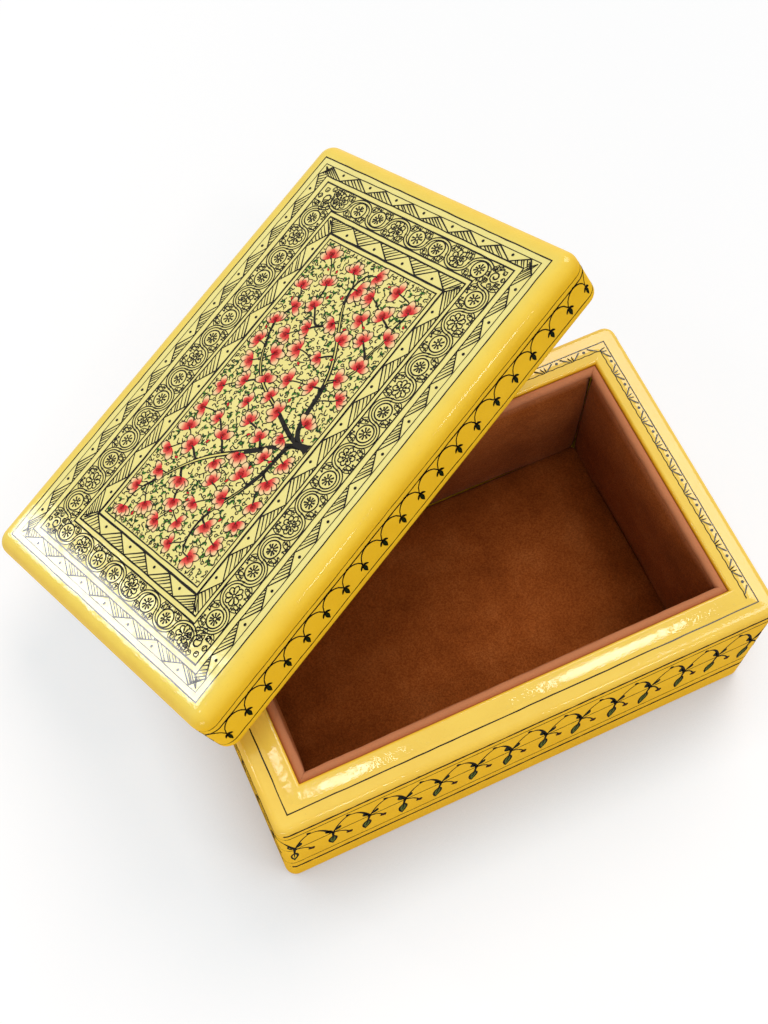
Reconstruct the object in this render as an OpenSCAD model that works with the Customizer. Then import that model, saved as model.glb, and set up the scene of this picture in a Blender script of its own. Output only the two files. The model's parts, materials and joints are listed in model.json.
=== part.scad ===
// Lacquered papier mache box with a lift-off lid and a padded suede lining.
// Millimetres. Origin: centre of the case's underside. +X along the long side,
// -Y is the front, +Z up. The lid is modelled taken off and leaning askew
// across the left and back rims, the way the box is shown open.

/* [Case] */
// Outside length of the case
base_l = 180; // [150:1:220]
// Outside width of the case
base_w = 120; // [95:1:145]
// Height of the case up to its ledge
base_h = 66; // [45:1:80]
// Wall of the case, which is also the width of the ledge round the collar
case_wall = 8.4; // [7:0.1:11]
// Thickness of the case's floor
case_floor = 9; // [5:0.5:12]
// Radius of the upright corners of the case
corner_r = 4; // [3.5:0.25:8]
// Rounding of the rim's outer edge
rim_r = 2.25; // [1:0.25:3]
// Rounding of the edge round the underside
foot_r = 2; // [1:0.25:3]

/* [Collar] */
// Thickness of the collar that lines the case and locates the lid
collar_t = 4.5; // [3.5:0.1:7]
// How far the collar stands up past the ledge
collar_rise = 1.5; // [1:0.1:3]
// Rounding of the collar's outer top edge
collar_edge_r = 1.2; // [0.5:0.1:1.5]
// Radius of the collar's upright corners
collar_corner_r = 2; // [1.6:0.1:3]

/* [Lid] */
// Overall height of the lid
lid_h = 21; // [18:0.5:28]
// How far the lid stands out past the case on every side
lid_overhang = 4.2; // [1:0.1:6]
// Clearance between the collar and the inside of the lid, per side
lid_fit = 0.5; // [0.3:0.1:1]
// Thickness of the lid's top
lid_top_t = 3.5; // [2.5:0.1:5]
// Radius of the lid's upright corners
lid_corner_r = 5.75; // [5.5:0.25:9]
// Rounding of the lid's top edges
lid_edge_r = 4.75; // [3:0.25:5.5]
// Rounding of the lid's bottom outer edge
lid_foot_r = 2; // [1:0.25:3]

/* [Suede lining] */
// Thickness of a wall pad at its foot and ends
pad_t = 3.4; // [2.4:0.1:4.5]
// Extra thickness of a wall pad at the middle of its belly
pad_crown = 1.8; // [0.5:0.1:3]
// Radius of the rolled bead along the top of a wall pad
bead_r = 1.6; // [1.2:0.1:2]
// How far the bead stays below the top of the collar
bead_drop = 0.7; // [0.3:0.1:2]
// Gap between two wall pads at a mitred corner
mitre_gap = 0.3; // [0.2:0.1:0.8]
// Thickness of the floor pad at its edges
floor_pad_t = 4; // [2:0.1:6]
// Extra thickness of the floor pad at its middle
floor_pad_crown = 2.2; // [0.5:0.1:3.5]
// Clearance between the floor pad and the wall pads' bellies
floor_pad_gap = 0.4; // [0.2:0.1:1]
// Radius of the floor pad's corners
floor_pad_r = 2; // [1:0.5:4]
// Thickness of the suede panel under the lid's top
lid_pad_t = 1.4; // [0.8:0.1:2.5]
// Clearance round the panel inside the lid
lid_pad_gap = 0.6; // [0.3:0.1:1.5]

/* [Lid at rest] */
// Turn of the lid about the vertical
lid_yaw = 25.6; // [20:0.1:32]
// Rise of the lid's long sides towards the right
lid_pitch = 12.9; // [9:0.1:15]
// Fall of the lid's short sides towards the back
lid_tilt = 24.7; // [18:0.1:28]
// Inset of the lid's nearest corner from the case's left side
lid_inset_x = -2.9; // [-5:0.1:1]
// Distance of that corner in front of the case's middle
lid_front_y = 32.2; // [26:0.1:36]
// Gap left where the lid's hollow comes to rest on the rim
seat_gap = 0.5; // [0.1:0.05:0.5]

/* [Hidden] */
$fn = 32;
// How far a cutting shape reaches past what it cuts
cut = 1;
// Break of an edge that never shows
hidden_r = 0.2;

lacquer_yellow = [0.90, 0.68, 0.20];
lid_yellow = [0.96, 0.86, 0.42];
suede_brown = [0.47, 0.24, 0.10];

collar_l = base_l - 2 * case_wall;
collar_w = base_w - 2 * case_wall;
collar_top = base_h + collar_rise;
room_l = collar_l - 2 * collar_t;
room_w = collar_w - 2 * collar_t;
room_r = collar_corner_r / 2;

pad_h = collar_top - bead_drop - case_floor;
pad_max = pad_t + pad_crown;

lid_l = base_l + 2 * lid_overhang;
lid_w = base_w + 2 * lid_overhang;
lid_wall = case_wall + lid_overhang - lid_fit;
hollow_l = lid_l - 2 * lid_wall;
hollow_w = lid_w - 2 * lid_wall;
hollow_h = lid_h - lid_top_t;
ceiling_h = hollow_h - lid_pad_t;

// ---- shared shapes -------------------------------------------------------

// Quarter arc of radius r about c, from angle a, as n + 1 points
function quarter(c, r, a, n = 7) = [for (i = [0 : n]) c + r * [cos(a + 90 * i / n), sin(a + 90 * i / n)]];

// One upright corner: a post of radius r with a rounded top and foot
module corner_post(r, h, top_r, low_r) {
    rotate_extrude()
        polygon(concat([[0, h], [0, 0]],
                       quarter([r - low_r, low_r], low_r, -90),
                       quarter([r - top_r, h - top_r], top_r, 0)));
}

// A block standing on z = 0, centred in x and y, with rounded corners and edges
module rounded_block(l, w, h, r, top_r, low_r) {
    hull()
        for (x = [-1, 1], y = [-1, 1])
            translate([x * (l / 2 - r), y * (w / 2 - r), 0])
                corner_post(r, h, top_r, low_r);
}

// A rectangle with round corners, centred
module round_rect(l, w, r) {
    square([l - 2 * r, w], center = true);
    square([l, w - 2 * r], center = true);
    for (x = [-1, 1], y = [-1, 1])
        translate([x * (l / 2 - r), y * (w / 2 - r)]) circle(r);
}

// ---- case and collar -----------------------------------------------------

module base_case() {
    color(lacquer_yellow)
    difference() {
        rounded_block(base_l, base_w, base_h, corner_r, rim_r, foot_r);
        translate([0, 0, case_floor])
            linear_extrude(base_h) round_rect(collar_l, collar_w, collar_corner_r);
    }
}

module base_collar() {
    color(lacquer_yellow)
    translate([0, 0, case_floor])
    difference() {
        rounded_block(collar_l, collar_w, collar_top - case_floor, collar_corner_r, collar_edge_r, hidden_r);
        translate([0, 0, -cut]) linear_extrude(collar_top + cut) round_rect(room_l, room_w, room_r);
    }
}

// ---- suede lining --------------------------------------------------------

// Side view of a wall pad: a crowned belly below a rolled bead.
// x is the depth from the collar, y the height above the case's floor.
module pad_profile() {
    belly_top = pad_h - 1.6 * bead_r;
    polygon(concat([[0, 0]],
        [for (i = [0 : 14]) let (f = i / 14)
            [pad_t + pad_crown * sin(165 * f) - 0.6 * bead_r * pow(f, 6), belly_top * f]],
        [[0, belly_top]]));
    square([bead_r, pad_h - bead_r]);
    translate([bead_r, pad_h - bead_r]) circle(bead_r);
}

// Plan of a wall pad: mitred ends and a front drawn in towards them
module pad_plan(run) {
    half = run / 2 - mitre_gap / 2;
    end_t = max(2 * bead_r, pad_t) + hidden_r;
    polygon(concat([[-half, 0]],
        [for (i = [0 : 16]) let (f = i / 16, x = (2 * f - 1) * (half - end_t))
            [x, end_t + (pad_max - end_t) * pow(sin(180 * f), 0.5)]],
        [[half, 0]]));
}

// A pad for a wall of the given length, standing on z = 0 with its back on y = 0
module wall_pad(run) {
    intersection() {
        rotate([90, 0, 90]) translate([0, 0, -run / 2]) linear_extrude(run) pad_profile();
        translate([0, 0, -cut]) linear_extrude(pad_h + 2 * cut) pad_plan(run);
    }
}

module lining_front() {
    color(suede_brown) translate([0, -room_w / 2, case_floor]) wall_pad(room_l);
}
module lining_back() {
    color(suede_brown) translate([0, room_w / 2, case_floor]) rotate(180) wall_pad(room_l);
}
module lining_left() {
    color(suede_brown) translate([-room_l / 2, 0, case_floor]) rotate(-90) wall_pad(room_w);
}
module lining_right() {
    color(suede_brown) translate([room_l / 2, 0, case_floor]) rotate(90) wall_pad(room_w);
}

// Crowned section of the floor pad across a width w
module crown_section(w) {
    polygon(concat([[-w / 2, 0]],
        [for (i = [0 : 16]) let (f = i / 16)
            [(f - 0.5) * w, floor_pad_t * (0.45 + 0.55 * pow(sin(180 * f), 0.35)) + floor_pad_crown * sin(180 * f)]],
        [[w / 2, 0]]));
}

module lining_floor() {
    top = floor_pad_t + floor_pad_crown;
    edge = pad_t + pad_crown * sin(165 * min(1, top / pad_h)) + floor_pad_gap;
    l = room_l - 2 * edge;
    w = room_w - 2 * edge;
    color(suede_brown)
    translate([0, 0, case_floor])
    intersection() {
        rotate([90, 0, 0]) translate([0, 0, -w]) linear_extrude(2 * w) crown_section(l);
        rotate([90, 0, 90]) translate([0, 0, -l]) linear_extrude(2 * l) crown_section(w);
        translate([0, 0, -cut]) linear_extrude(top + 2 * cut) round_rect(l, w, floor_pad_r);
    }
}

// ---- lid -----------------------------------------------------------------

// The lid's own axes when it leans on the case: along its long side, inwards
// from its near long side, and up through its top
lid_u0 = [cos(lid_yaw), sin(lid_yaw), 0];
lid_s0 = [-sin(lid_yaw), cos(lid_yaw), 0];
lid_u = lid_u0 * cos(lid_pitch) + [0, 0, sin(lid_pitch)];
lid_n0 = [0, 0, cos(lid_pitch)] - lid_u0 * sin(lid_pitch);
lid_s = lid_s0 * cos(lid_tilt) - lid_n0 * sin(lid_tilt);
lid_n = lid_n0 * cos(lid_tilt) + lid_s0 * sin(lid_tilt);
lid_xy = [-base_l / 2 + lid_inset_x, -lid_front_y, 0];

// Points along a rounded rectangle of the rim, for finding where the lid lands
function loop_points(l, w, r, z) = concat(
    [for (f = [-1 : 0.02 : 1], s = [-1, 1]) [f * (l / 2 - r), s * w / 2, z]],
    [for (f = [-1 : 0.02 : 1], s = [-1, 1]) [s * l / 2, f * (w / 2 - r), z]],
    [for (a = [0 : 10 : 90], x = [-1, 1], y = [-1, 1])
        [x * (l / 2 - r + r * cos(a)), y * (w / 2 - r + r * sin(a)), z]]);
rim_points = concat(
    [for (k = [0.2 : 0.2 : 0.8]) each loop_points(base_l, base_w, corner_r, k * base_h)],
    [for (a = [0 : 15 : 90]) let (i = rim_r * (1 - cos(a)))
        each loop_points(base_l - 2 * i, base_w - 2 * i, corner_r - i, base_h - rim_r * (1 - sin(a)))],
    loop_points(collar_l - collar_edge_r, collar_w - collar_edge_r, collar_corner_r, collar_top),
    loop_points(room_l, room_w, room_r, collar_top));

// True where point p of the case would be inside the lid, or nearer to it than
// seat_gap, with the lid's lowest near corner at height z
function touches(p, z) = let (
    q = p - lid_xy - [0, 0, z],
    a = q * lid_u, b = q * lid_s, h = q * lid_n,
    inside = a > 0 && a < lid_l && b > 0 && b < lid_w && h < lid_h,
    under_top = a > lid_wall && a < lid_l - lid_wall && b > lid_wall && b < lid_w - lid_wall)
    inside && h > (under_top ? ceiling_h : 0) - seat_gap;
function blocked(z) = len([for (p = rim_points) if (touches(p, z)) 1]) > 0;
// Lowers the lid in ever smaller steps until the rim carries it
function lowered(z, step) = step < 0.01 ? z : blocked(z - step) ? lowered(z, step / 2) : lowered(z - step, step);
lid_z = lowered(base_h + lid_h + base_w, 4);

// Moves a lid drawn centred on z = 0 to where it leans on the case
module at_rest() {
    translate(lid_xy + [0, 0, lid_z])
        rotate([-lid_tilt, -lid_pitch, lid_yaw])
            translate([lid_l / 2, lid_w / 2, 0])
                children();
}

module lid_shell() {
    color(lid_yellow)
    at_rest()
    difference() {
        rounded_block(lid_l, lid_w, lid_h, lid_corner_r, lid_edge_r, lid_foot_r);
        translate([0, 0, -cut]) linear_extrude(hollow_h + cut) round_rect(hollow_l, hollow_w, collar_corner_r);
    }
}

module lid_lining() {
    color(suede_brown)
    at_rest()
    translate([0, 0, ceiling_h])
        linear_extrude(lid_pad_t)
            round_rect(hollow_l - 2 * lid_pad_gap, hollow_w - 2 * lid_pad_gap, collar_corner_r);
}

base_case();
base_collar();
lining_front();
lining_back();
lining_left();
lining_right();
lining_floor();
lid_shell();
lid_lining();
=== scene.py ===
"""Looks for the lacquered papier mache box: shells, padded suede lining, painted ornament, studio.

Lengths in the code are millimetres; the matrices in PLACES turn them into the frame's metres. The
lid's own axes are x along its long side, y across and z up through its top, centred on its foot.
"""
import json
import random
import bpy
import numpy as np
from math import atan2, copysign, cos, degrees, dist, hypot, pi, radians, sin
from mathutils import Matrix, Vector

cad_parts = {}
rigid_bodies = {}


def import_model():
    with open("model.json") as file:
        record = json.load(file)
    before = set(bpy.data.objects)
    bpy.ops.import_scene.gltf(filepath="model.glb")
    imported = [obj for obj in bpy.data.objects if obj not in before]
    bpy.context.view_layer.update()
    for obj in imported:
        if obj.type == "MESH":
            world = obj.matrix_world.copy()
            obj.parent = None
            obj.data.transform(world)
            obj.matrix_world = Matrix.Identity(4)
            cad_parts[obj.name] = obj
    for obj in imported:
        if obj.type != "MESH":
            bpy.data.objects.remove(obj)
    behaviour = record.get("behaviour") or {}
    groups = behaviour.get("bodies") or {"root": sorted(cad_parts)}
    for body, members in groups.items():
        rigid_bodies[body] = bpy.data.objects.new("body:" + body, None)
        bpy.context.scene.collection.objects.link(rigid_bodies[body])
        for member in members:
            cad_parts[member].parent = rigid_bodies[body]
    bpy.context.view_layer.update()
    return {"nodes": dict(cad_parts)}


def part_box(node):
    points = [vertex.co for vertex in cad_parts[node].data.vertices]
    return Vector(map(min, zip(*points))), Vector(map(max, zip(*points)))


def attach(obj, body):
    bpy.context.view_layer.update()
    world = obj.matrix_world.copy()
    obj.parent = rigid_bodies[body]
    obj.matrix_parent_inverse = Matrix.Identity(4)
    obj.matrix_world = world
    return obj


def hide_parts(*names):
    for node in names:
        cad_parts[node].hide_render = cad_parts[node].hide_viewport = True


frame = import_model()

MM = 0.001
# How the lid leans at rest, as in part.scad
LID_YAW, LID_PITCH, LID_TILT = 25.6, 12.9, 24.7
# Sizes that the CAD boxes don't give directly, as in part.scad
CASE_WALL, COLLAR_T, CORNER_R, RIM_R, FOOT_R = 8.4, 4.5, 4.0, 2.25, 2.0
COLLAR_CORNER_R, CASE_FLOOR = 2.0, 9.0
LID_WALL, LID_TOP_T, LID_CORNER_R, LID_EDGE_R, LID_FOOT_R = 12.1, 3.5, 5.75, 4.75, 2.0
LID_PAD_T, LID_PAD_GAP = 1.4, 0.6
PAD_T, PAD_CROWN, BEAD_R, BEAD_DROP = 3.4, 1.8, 1.6, 0.7


# ---- places ----

def extent(node):
    """Length, width and top of an upright CAD node, in mm."""
    low, high = (np.array(corner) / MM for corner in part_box(node))
    return high[0] - low[0], high[1] - low[1], high[2]


def lid_place():
    """The lid's size and the matrix from its own axes (mm) to the frame (m)."""
    turn = (Matrix.Rotation(radians(LID_YAW), 3, "Z")
            @ Matrix.Rotation(radians(-LID_PITCH), 3, "Y")
            @ Matrix.Rotation(radians(-LID_TILT), 3, "X"))
    mesh = frame["nodes"]["lid_shell"].data
    points = np.array([tuple(v.co) for v in mesh.vertices]) @ np.array(turn) / MM
    low, high = points.min(axis=0), points.max(axis=0)
    middle = Vector(((low[0] + high[0]) / 2, (low[1] + high[1]) / 2, low[2]))
    place = Matrix.Translation(turn @ middle * MM) @ turn.to_4x4() @ Matrix.Scale(MM, 4)
    return high - low, place


BASE_L, BASE_W, BASE_H = extent("base_case")
COLLAR_L, COLLAR_W, COLLAR_TOP = extent("base_collar")
(LID_L, LID_W, LID_H), LID = lid_place()
CASE = Matrix.Scale(MM, 4)
PLACES = {"case": CASE, "lid": LID}
ROOM_L, ROOM_W = COLLAR_L - 2 * COLLAR_T, COLLAR_W - 2 * COLLAR_T


# ---- mesh helpers ----

CORNER_STEPS = 10


def link(name, data):
    """A new object of the scene."""
    obj = bpy.data.objects.new(name, data)
    bpy.context.scene.collection.objects.link(obj)
    return obj


def make(name, verts, faces, body, material, values, place=None, smooth=35):
    """A mesh object from mm points in the body's own axes, or those of place.
    values: {attribute: floats or RGB colours}."""
    mesh = bpy.data.meshes.new(name)
    mesh.from_pydata([tuple(v) for v in verts], [], faces)
    mesh.transform(PLACES[body] if place is None else place)
    for key, data in values.items():
        data = np.asarray(data, dtype=float)
        if data.ndim == 1:
            mesh.attributes.new(key, "FLOAT", "POINT").data.foreach_set("value", data)
        else:
            rgba = np.concatenate([data, np.ones((len(data), 1))], axis=1).ravel()
            mesh.attributes.new(key, "FLOAT_COLOR", "POINT").data.foreach_set("color", rgba)
    mesh.shade_smooth()
    mesh.set_sharp_from_angle(angle=radians(smooth))
    mesh.materials.append(material)
    obj = link(name, mesh)
    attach(obj, body)
    return obj


def ring(l, w, r, z):
    """A rounded rectangle at height z, counter-clockwise from above."""
    points = []
    for corner, (sx, sy) in enumerate(((1, -1), (1, 1), (-1, 1), (-1, -1))):
        for i in range(CORNER_STEPS + 1):
            a = radians(-90 + 90 * corner + 90 * i / CORNER_STEPS)
            x, y = sx * (l / 2 - r) + r * cos(a), sy * (w / 2 - r) + r * sin(a)
            points.append((x, y, z))
    return points


def arc(inset, z, r, start, end, steps=8):
    """(inset, z) points of an arc about (inset, z). Angle 0 points outwards and 90 up."""
    out = []
    for i in range(steps + 1):
        a = radians(start + (end - start) * i / steps)
        out.append((inset - r * cos(a), z + r * sin(a)))
    return out


def skin(count, n, loop=False):
    """Faces over count rows of n points, with end faces or, in a loop, joined last to first."""
    faces = []
    for k in range(count if loop else count - 1):
        a, b = k * n, (k + 1) % count * n
        faces += [(a + i, a + (i + 1) % n, b + (i + 1) % n, b + i) for i in range(n)]
    if not loop:
        faces += [tuple(range(n))[::-1], tuple(range((count - 1) * n, count * n))]
    return faces


def loft(l, w, r, rows, loop=False, least_r=0.3):
    """Verts and faces of a body through rows of (inset, z), inset from an l x w outline with
    corner radius r."""
    rings = [ring(l - 2 * inset, w - 2 * inset, max(r - inset, least_r), z) for inset, z in rows]
    return [p for points in rings for p in points], skin(len(rings), len(rings[0]), loop)


def swept(profile, half, steps):
    """Verts and faces of a (depth, height) profile swept along x, with mitred ends."""
    verts = [(t * (half - y), y, z) for t in np.linspace(-1, 1, steps + 1) for y, z in profile]
    return verts, skin(steps + 1, len(profile))


# ---- materials ----

def srgb(*rgb):
    """Linear colour from 8-bit sRGB."""
    return tuple((c / 255 / 12.92) if c <= 10 else ((c / 255 + 0.055) / 1.055) ** 2.4 for c in rgb)


class Nodes:
    """The node tree of a material or world under construction."""

    def __init__(self, data):
        data.use_nodes = True
        self.data, self.tree = data, data.node_tree

    def add(self, kind, inputs=None, **settings):
        node = self.tree.nodes.new("ShaderNode" + kind)
        for key, value in settings.items():
            setattr(node, key, value)
        for key, value in (inputs or {}).items():
            self.put(node.inputs[key], value)
        return node

    def put(self, socket, value):
        if isinstance(value, bpy.types.NodeSocket):
            self.tree.links.new(value, socket)
        elif isinstance(value, tuple) and len(value) == 3 and socket.type == "RGBA":
            socket.default_value = (*value, 1)
        else:
            socket.default_value = value

    def ramp(self, factor, stops):
        node = self.add("ValToRGB", {"Fac": factor})
        bar = node.color_ramp
        while len(bar.elements) < len(stops):
            bar.elements.new(1)
        for element, (at, colour) in zip(bar.elements, stops):
            element.position, element.color = at, (*colour, 1)
        return node.outputs["Color"]

    def noise(self, scale, detail=3, rough=0.55, **more):
        """Noise of scale features per metre."""
        inputs = {"Vector": self.add("TexCoord").outputs["Object"], "Scale": scale,
                  "Detail": detail, "Roughness": rough, **more}
        return self.add("TexNoise", inputs).outputs["Fac"]

    def range(self, value, low, high, out_low, out_high):
        inputs = {"Value": value, "From Min": low, "From Max": high, "To Min": out_low,
                  "To Max": out_high}
        return self.add("MapRange", inputs).outputs["Result"]

    def mix(self, factor, a, b, blend="MIX"):
        inputs = {0: factor, 6: a, 7: b}
        return self.add("Mix", inputs, data_type="RGBA", blend_type=blend).outputs[2]

    def tinted(self, factor, colour, by):
        """The colour, multiplied by another as far as factor says."""
        return self.mix(factor, colour, self.mix(1.0, colour, by, "MULTIPLY"))

    def attribute(self, name, output="Fac"):
        return self.add("Attribute", attribute_name=name).outputs[output]

    def bump(self, height, strength, distance_m):
        inputs = {"Height": height, "Strength": strength, "Distance": distance_m}
        return self.add("Bump", inputs).outputs["Normal"]

    def finish(self, colour, rough, **sockets):
        shader = self.tree.nodes["Principled BSDF"].inputs
        for key, value in {"Base_Color": colour, "Roughness": rough, **sockets}.items():
            self.put(shader[key.replace("_", " ")], value)
        return self.data


def lacquer(name, stops):
    """Clear-coated paint: colour by an attribute that gives the lid's pale field and painted shade
    towards upright faces, with mottling, specks and slight waves in the coat. The coat is fullest
    on top and thin on the upright sides."""
    n = Nodes(bpy.data.materials.new(name))
    ground_and_shade = n.attribute("ground_and_shade")
    mottle = n.range(n.noise(90, 5, 0.6), 0.3, 0.7, 0.0, 1.0)
    base = n.tinted(mottle, n.ramp(ground_and_shade, stops), (0.96, 0.93, 0.86))
    speck = n.range(n.noise(1500, 2, 0.5), 0.62, 0.8, 0.0, 0.14)
    base = n.mix(speck, base, srgb(176, 128, 44))
    waves = n.bump(n.noise(150, 5, 0.6), 0.12, 0.001)
    coat = n.range(ground_and_shade, 0.45, 0.9, 0.8, 0.05)
    return n.finish(base, n.range(n.noise(320, 4), 0.3, 0.7, 0.3, 0.42), Normal=waves,
                    Specular_IOR_Level=0.0, Coat_Weight=coat, Coat_Roughness=0.045,
                    Coat_Normal=waves)


def painted(name, coat):
    """Brush paint under the same coat: colour from the paint attribute, with uneven cover."""
    n = Nodes(bpy.data.materials.new(name))
    cover = n.range(n.noise(700, 3), 0.3, 0.75, 0.0, 0.3)
    base = n.tinted(cover, n.attribute("paint", "Color"), (1.2, 1.15, 1.05))
    return n.finish(base, n.range(n.noise(400, 3), 0.3, 0.7, 0.34, 0.46),
                    Specular_IOR_Level=0.0, Coat_Weight=coat, Coat_Roughness=0.05)


def suede(name, dark, mid, light, rub):
    """Brushed suede: mottled nap, fine fibre bump and sheen. An attribute mixes in a lighter
    colour, which paints light on the pads' upper faces and the beads' tops.
    """
    n = Nodes(bpy.data.materials.new(name))
    nap = n.range(n.noise(60, 6, 0.66, Distortion=0.2), 0.05, 0.95, 0.0, 1.0)
    fine = n.noise(1500, 5, 0.7)
    base = n.ramp(nap, [(0.0, dark), (0.5, mid), (1.0, light)])
    base = n.tinted(n.range(fine, 0.38, 0.62, 0.0, 0.8), base, (0.5, 0.44, 0.4))
    base = n.mix(n.attribute("rub"), base, rub)
    fibres = n.bump(n.noise(2600, 3, 0.7), 0.55, 0.0004)
    return n.finish(base, n.range(fine, 0.3, 0.7, 0.86, 0.98), Normal=fibres, Sheen_Weight=0.1,
                    Sheen_Roughness=0.4, Sheen_Tint=(1.0, 0.66, 0.4, 1), Specular_IOR_Level=0.0)


# Stop 0 is the lid's pale field, low stops are level faces and 1 is an upright side. The deeper
# # gold towards the upright sides and over the rounded edges is painted shade.
LID_STOPS = [(0.0, srgb(248, 236, 146)), (0.3, srgb(249, 224, 100)), (0.55, srgb(250, 213, 76)),
             (0.8, srgb(246, 198, 44)), (1.0, srgb(248, 196, 42))]
CASE_STOPS = [(0.0, srgb(248, 212, 92)), (0.5, srgb(246, 202, 66)), (1.0, srgb(246, 192, 38))]
LACQUER = {"lid": lacquer("lid_lacquer_coat", LID_STOPS),
           "case": lacquer("case_lacquer_coat", CASE_STOPS)}
# The last colour is painted light for the pads' upper faces and the beads' tops
SUEDE = suede("suede_cloth", dark=srgb(126, 60, 22), mid=srgb(170, 90, 38),
              light=srgb(198, 116, 58), rub=srgb(208, 138, 98))


# ---- shells ----

EDGE, FLAT = 0.5, 0.6   # rows this far beyond a rounding keep the flats evenly shaded
SKIN = 0.04             # gap that keeps faces of two pieces apart
LIP_OUT, LIP_TURN = 1.0, 1.0
FRAME_INSET = 6.55      # of the lid's outermost painted line


def shell(name, body, l, w, r, rows, replaced, loop=False, least_r=0.3):
    """A lofted shell from rows of (inset, z, tone)."""
    verts, faces = loft(l, w, r, [row[:2] for row in rows], loop, least_r)
    ground_and_shade = np.repeat([row[2] for row in rows], len(verts) // len(rows))
    obj = make(name, verts, faces, body, LACQUER[body], {"ground_and_shade": ground_and_shade})
    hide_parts(replaced)


def toned(points, start, end):
    """Adds a tone to each (inset, z), even from start to end."""
    last = max(1, len(points) - 1)
    return [(*p, start + (end - start) * i / last) for i, p in enumerate(points)]


def outside(foot_r, height, top_r, wall_tone, top_tone, steps):
    """Rows round a foot, up the side and over its top edge."""
    # The tones paint shade: darkest at the foot, a little lighter up the side and paler over the
    # top edge
    rows = [(foot_r + FLAT, 0, 1)] + toned(arc(foot_r, foot_r, foot_r, -90, 0), 1, 1)
    rows += [(0, foot_r + EDGE, 1), (0, height - top_r - EDGE, wall_tone)]
    return rows + toned(arc(top_r, height - top_r, top_r, 0, 90, steps), 0.85, top_tone)


def case_rows():
    """From the foot up the outside, over the ledge and down the inside."""
    deep = CASE_WALL + SKIN
    rows = outside(FOOT_R, BASE_H, RIM_R, 0.92, 0.2, 8)
    rows += [(RIM_R + EDGE, BASE_H, 0.1), (CASE_WALL - 0.7, BASE_H, 0.15)]
    # A low rise where the ledge meets the collar
    rows += [(CASE_WALL - 0.3, BASE_H + 0.12, 0.6), (deep - 0.05, BASE_H + 0.3, 0.8)]
    rows += [(deep, BASE_H - 0.6, 0.9), (deep, CASE_FLOOR - SKIN, 1)]
    return rows


def lip_height(inset):
    """Height over the ledge of the lip's soft bevel, which starts LIP_OUT outside the collar."""
    t = np.clip((np.asarray(inset) + LIP_OUT) / (COLLAR_T - LIP_TURN + LIP_OUT), 0, 1)
    return (COLLAR_TOP - BASE_H) * t * (1.15 - 0.15 * t)


def collar_rows():
    """From the foot up the outside, over the bevel and down the inside."""
    rows = [(0.1, CASE_FLOOR, 1), (0, CASE_FLOOR + 0.3, 1), (0, BASE_H - 1.5, 0.9),
            (-LIP_OUT, BASE_H - 0.12, 0.2)]
    slope = np.linspace(-LIP_OUT, COLLAR_T - LIP_TURN, 10)
    rows += toned(list(zip(slope, BASE_H + 0.01 + lip_height(slope) * 0.99)), 0.15, 0.1)
    rows += toned(arc(COLLAR_T - LIP_TURN, COLLAR_TOP - LIP_TURN, LIP_TURN, 90, 180), 0.2, 1)
    rows += [(COLLAR_T, CASE_FLOOR + 0.3, 1), (COLLAR_T - 0.1, CASE_FLOOR, 1)]
    return rows


def lid_rows():
    """From the hollow's ceiling down the inside, round the foot and up over the top's edge."""
    hollow = LID_H - LID_TOP_T
    rows = [(LID_WALL + 0.5, hollow, 1), (LID_WALL, hollow, 1), (LID_WALL, 0.8, 1),
            (LID_WALL - 0.4, 0.2, 1), (LID_WALL - FLAT, 0, 1)]
    rows += outside(LID_FOOT_R, LID_H, LID_EDGE_R, 0.95, 0.4, 12)
    field = ((0, 0.3), (0.15, 0), (2, 0))
    return rows + [(FRAME_INSET + further, LID_H, ground_and_shade) for further, ground_and_shade in field]


shell("case_shell", "case", BASE_L, BASE_W, CORNER_R, case_rows(), "base_case",
      least_r=COLLAR_CORNER_R)
shell("case_collar", "case", COLLAR_L, COLLAR_W, COLLAR_CORNER_R, collar_rows(), "base_collar",
      loop=True)
shell("lid_cover", "lid", LID_L, LID_W, LID_CORNER_R, lid_rows(), "lid_shell")


# ---- padded suede lining ----

SIM_SCALE = 10   # the pads are simulated ten times as large, where cloth settings behave
SIM_FRAMES = 16
PAD_H = COLLAR_TOP - BEAD_DROP - CASE_FLOOR


def bake(obj):
    """Applies every modifier of obj."""
    graph = bpy.context.evaluated_depsgraph_get()
    new = bpy.data.meshes.new_from_object(obj.evaluated_get(graph))
    obj.modifiers.clear()
    obj.data = new


def read(obj):
    """The object's points, an array of x, y, z."""
    data = np.empty(len(obj.data.vertices) * 3)
    obj.data.vertices.foreach_get("co", data)
    return data.reshape(-1, 3)


def subdivide(obj):
    obj.modifiers.new("smooth", "SUBSURF").levels = 1
    bake(obj)


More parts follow.
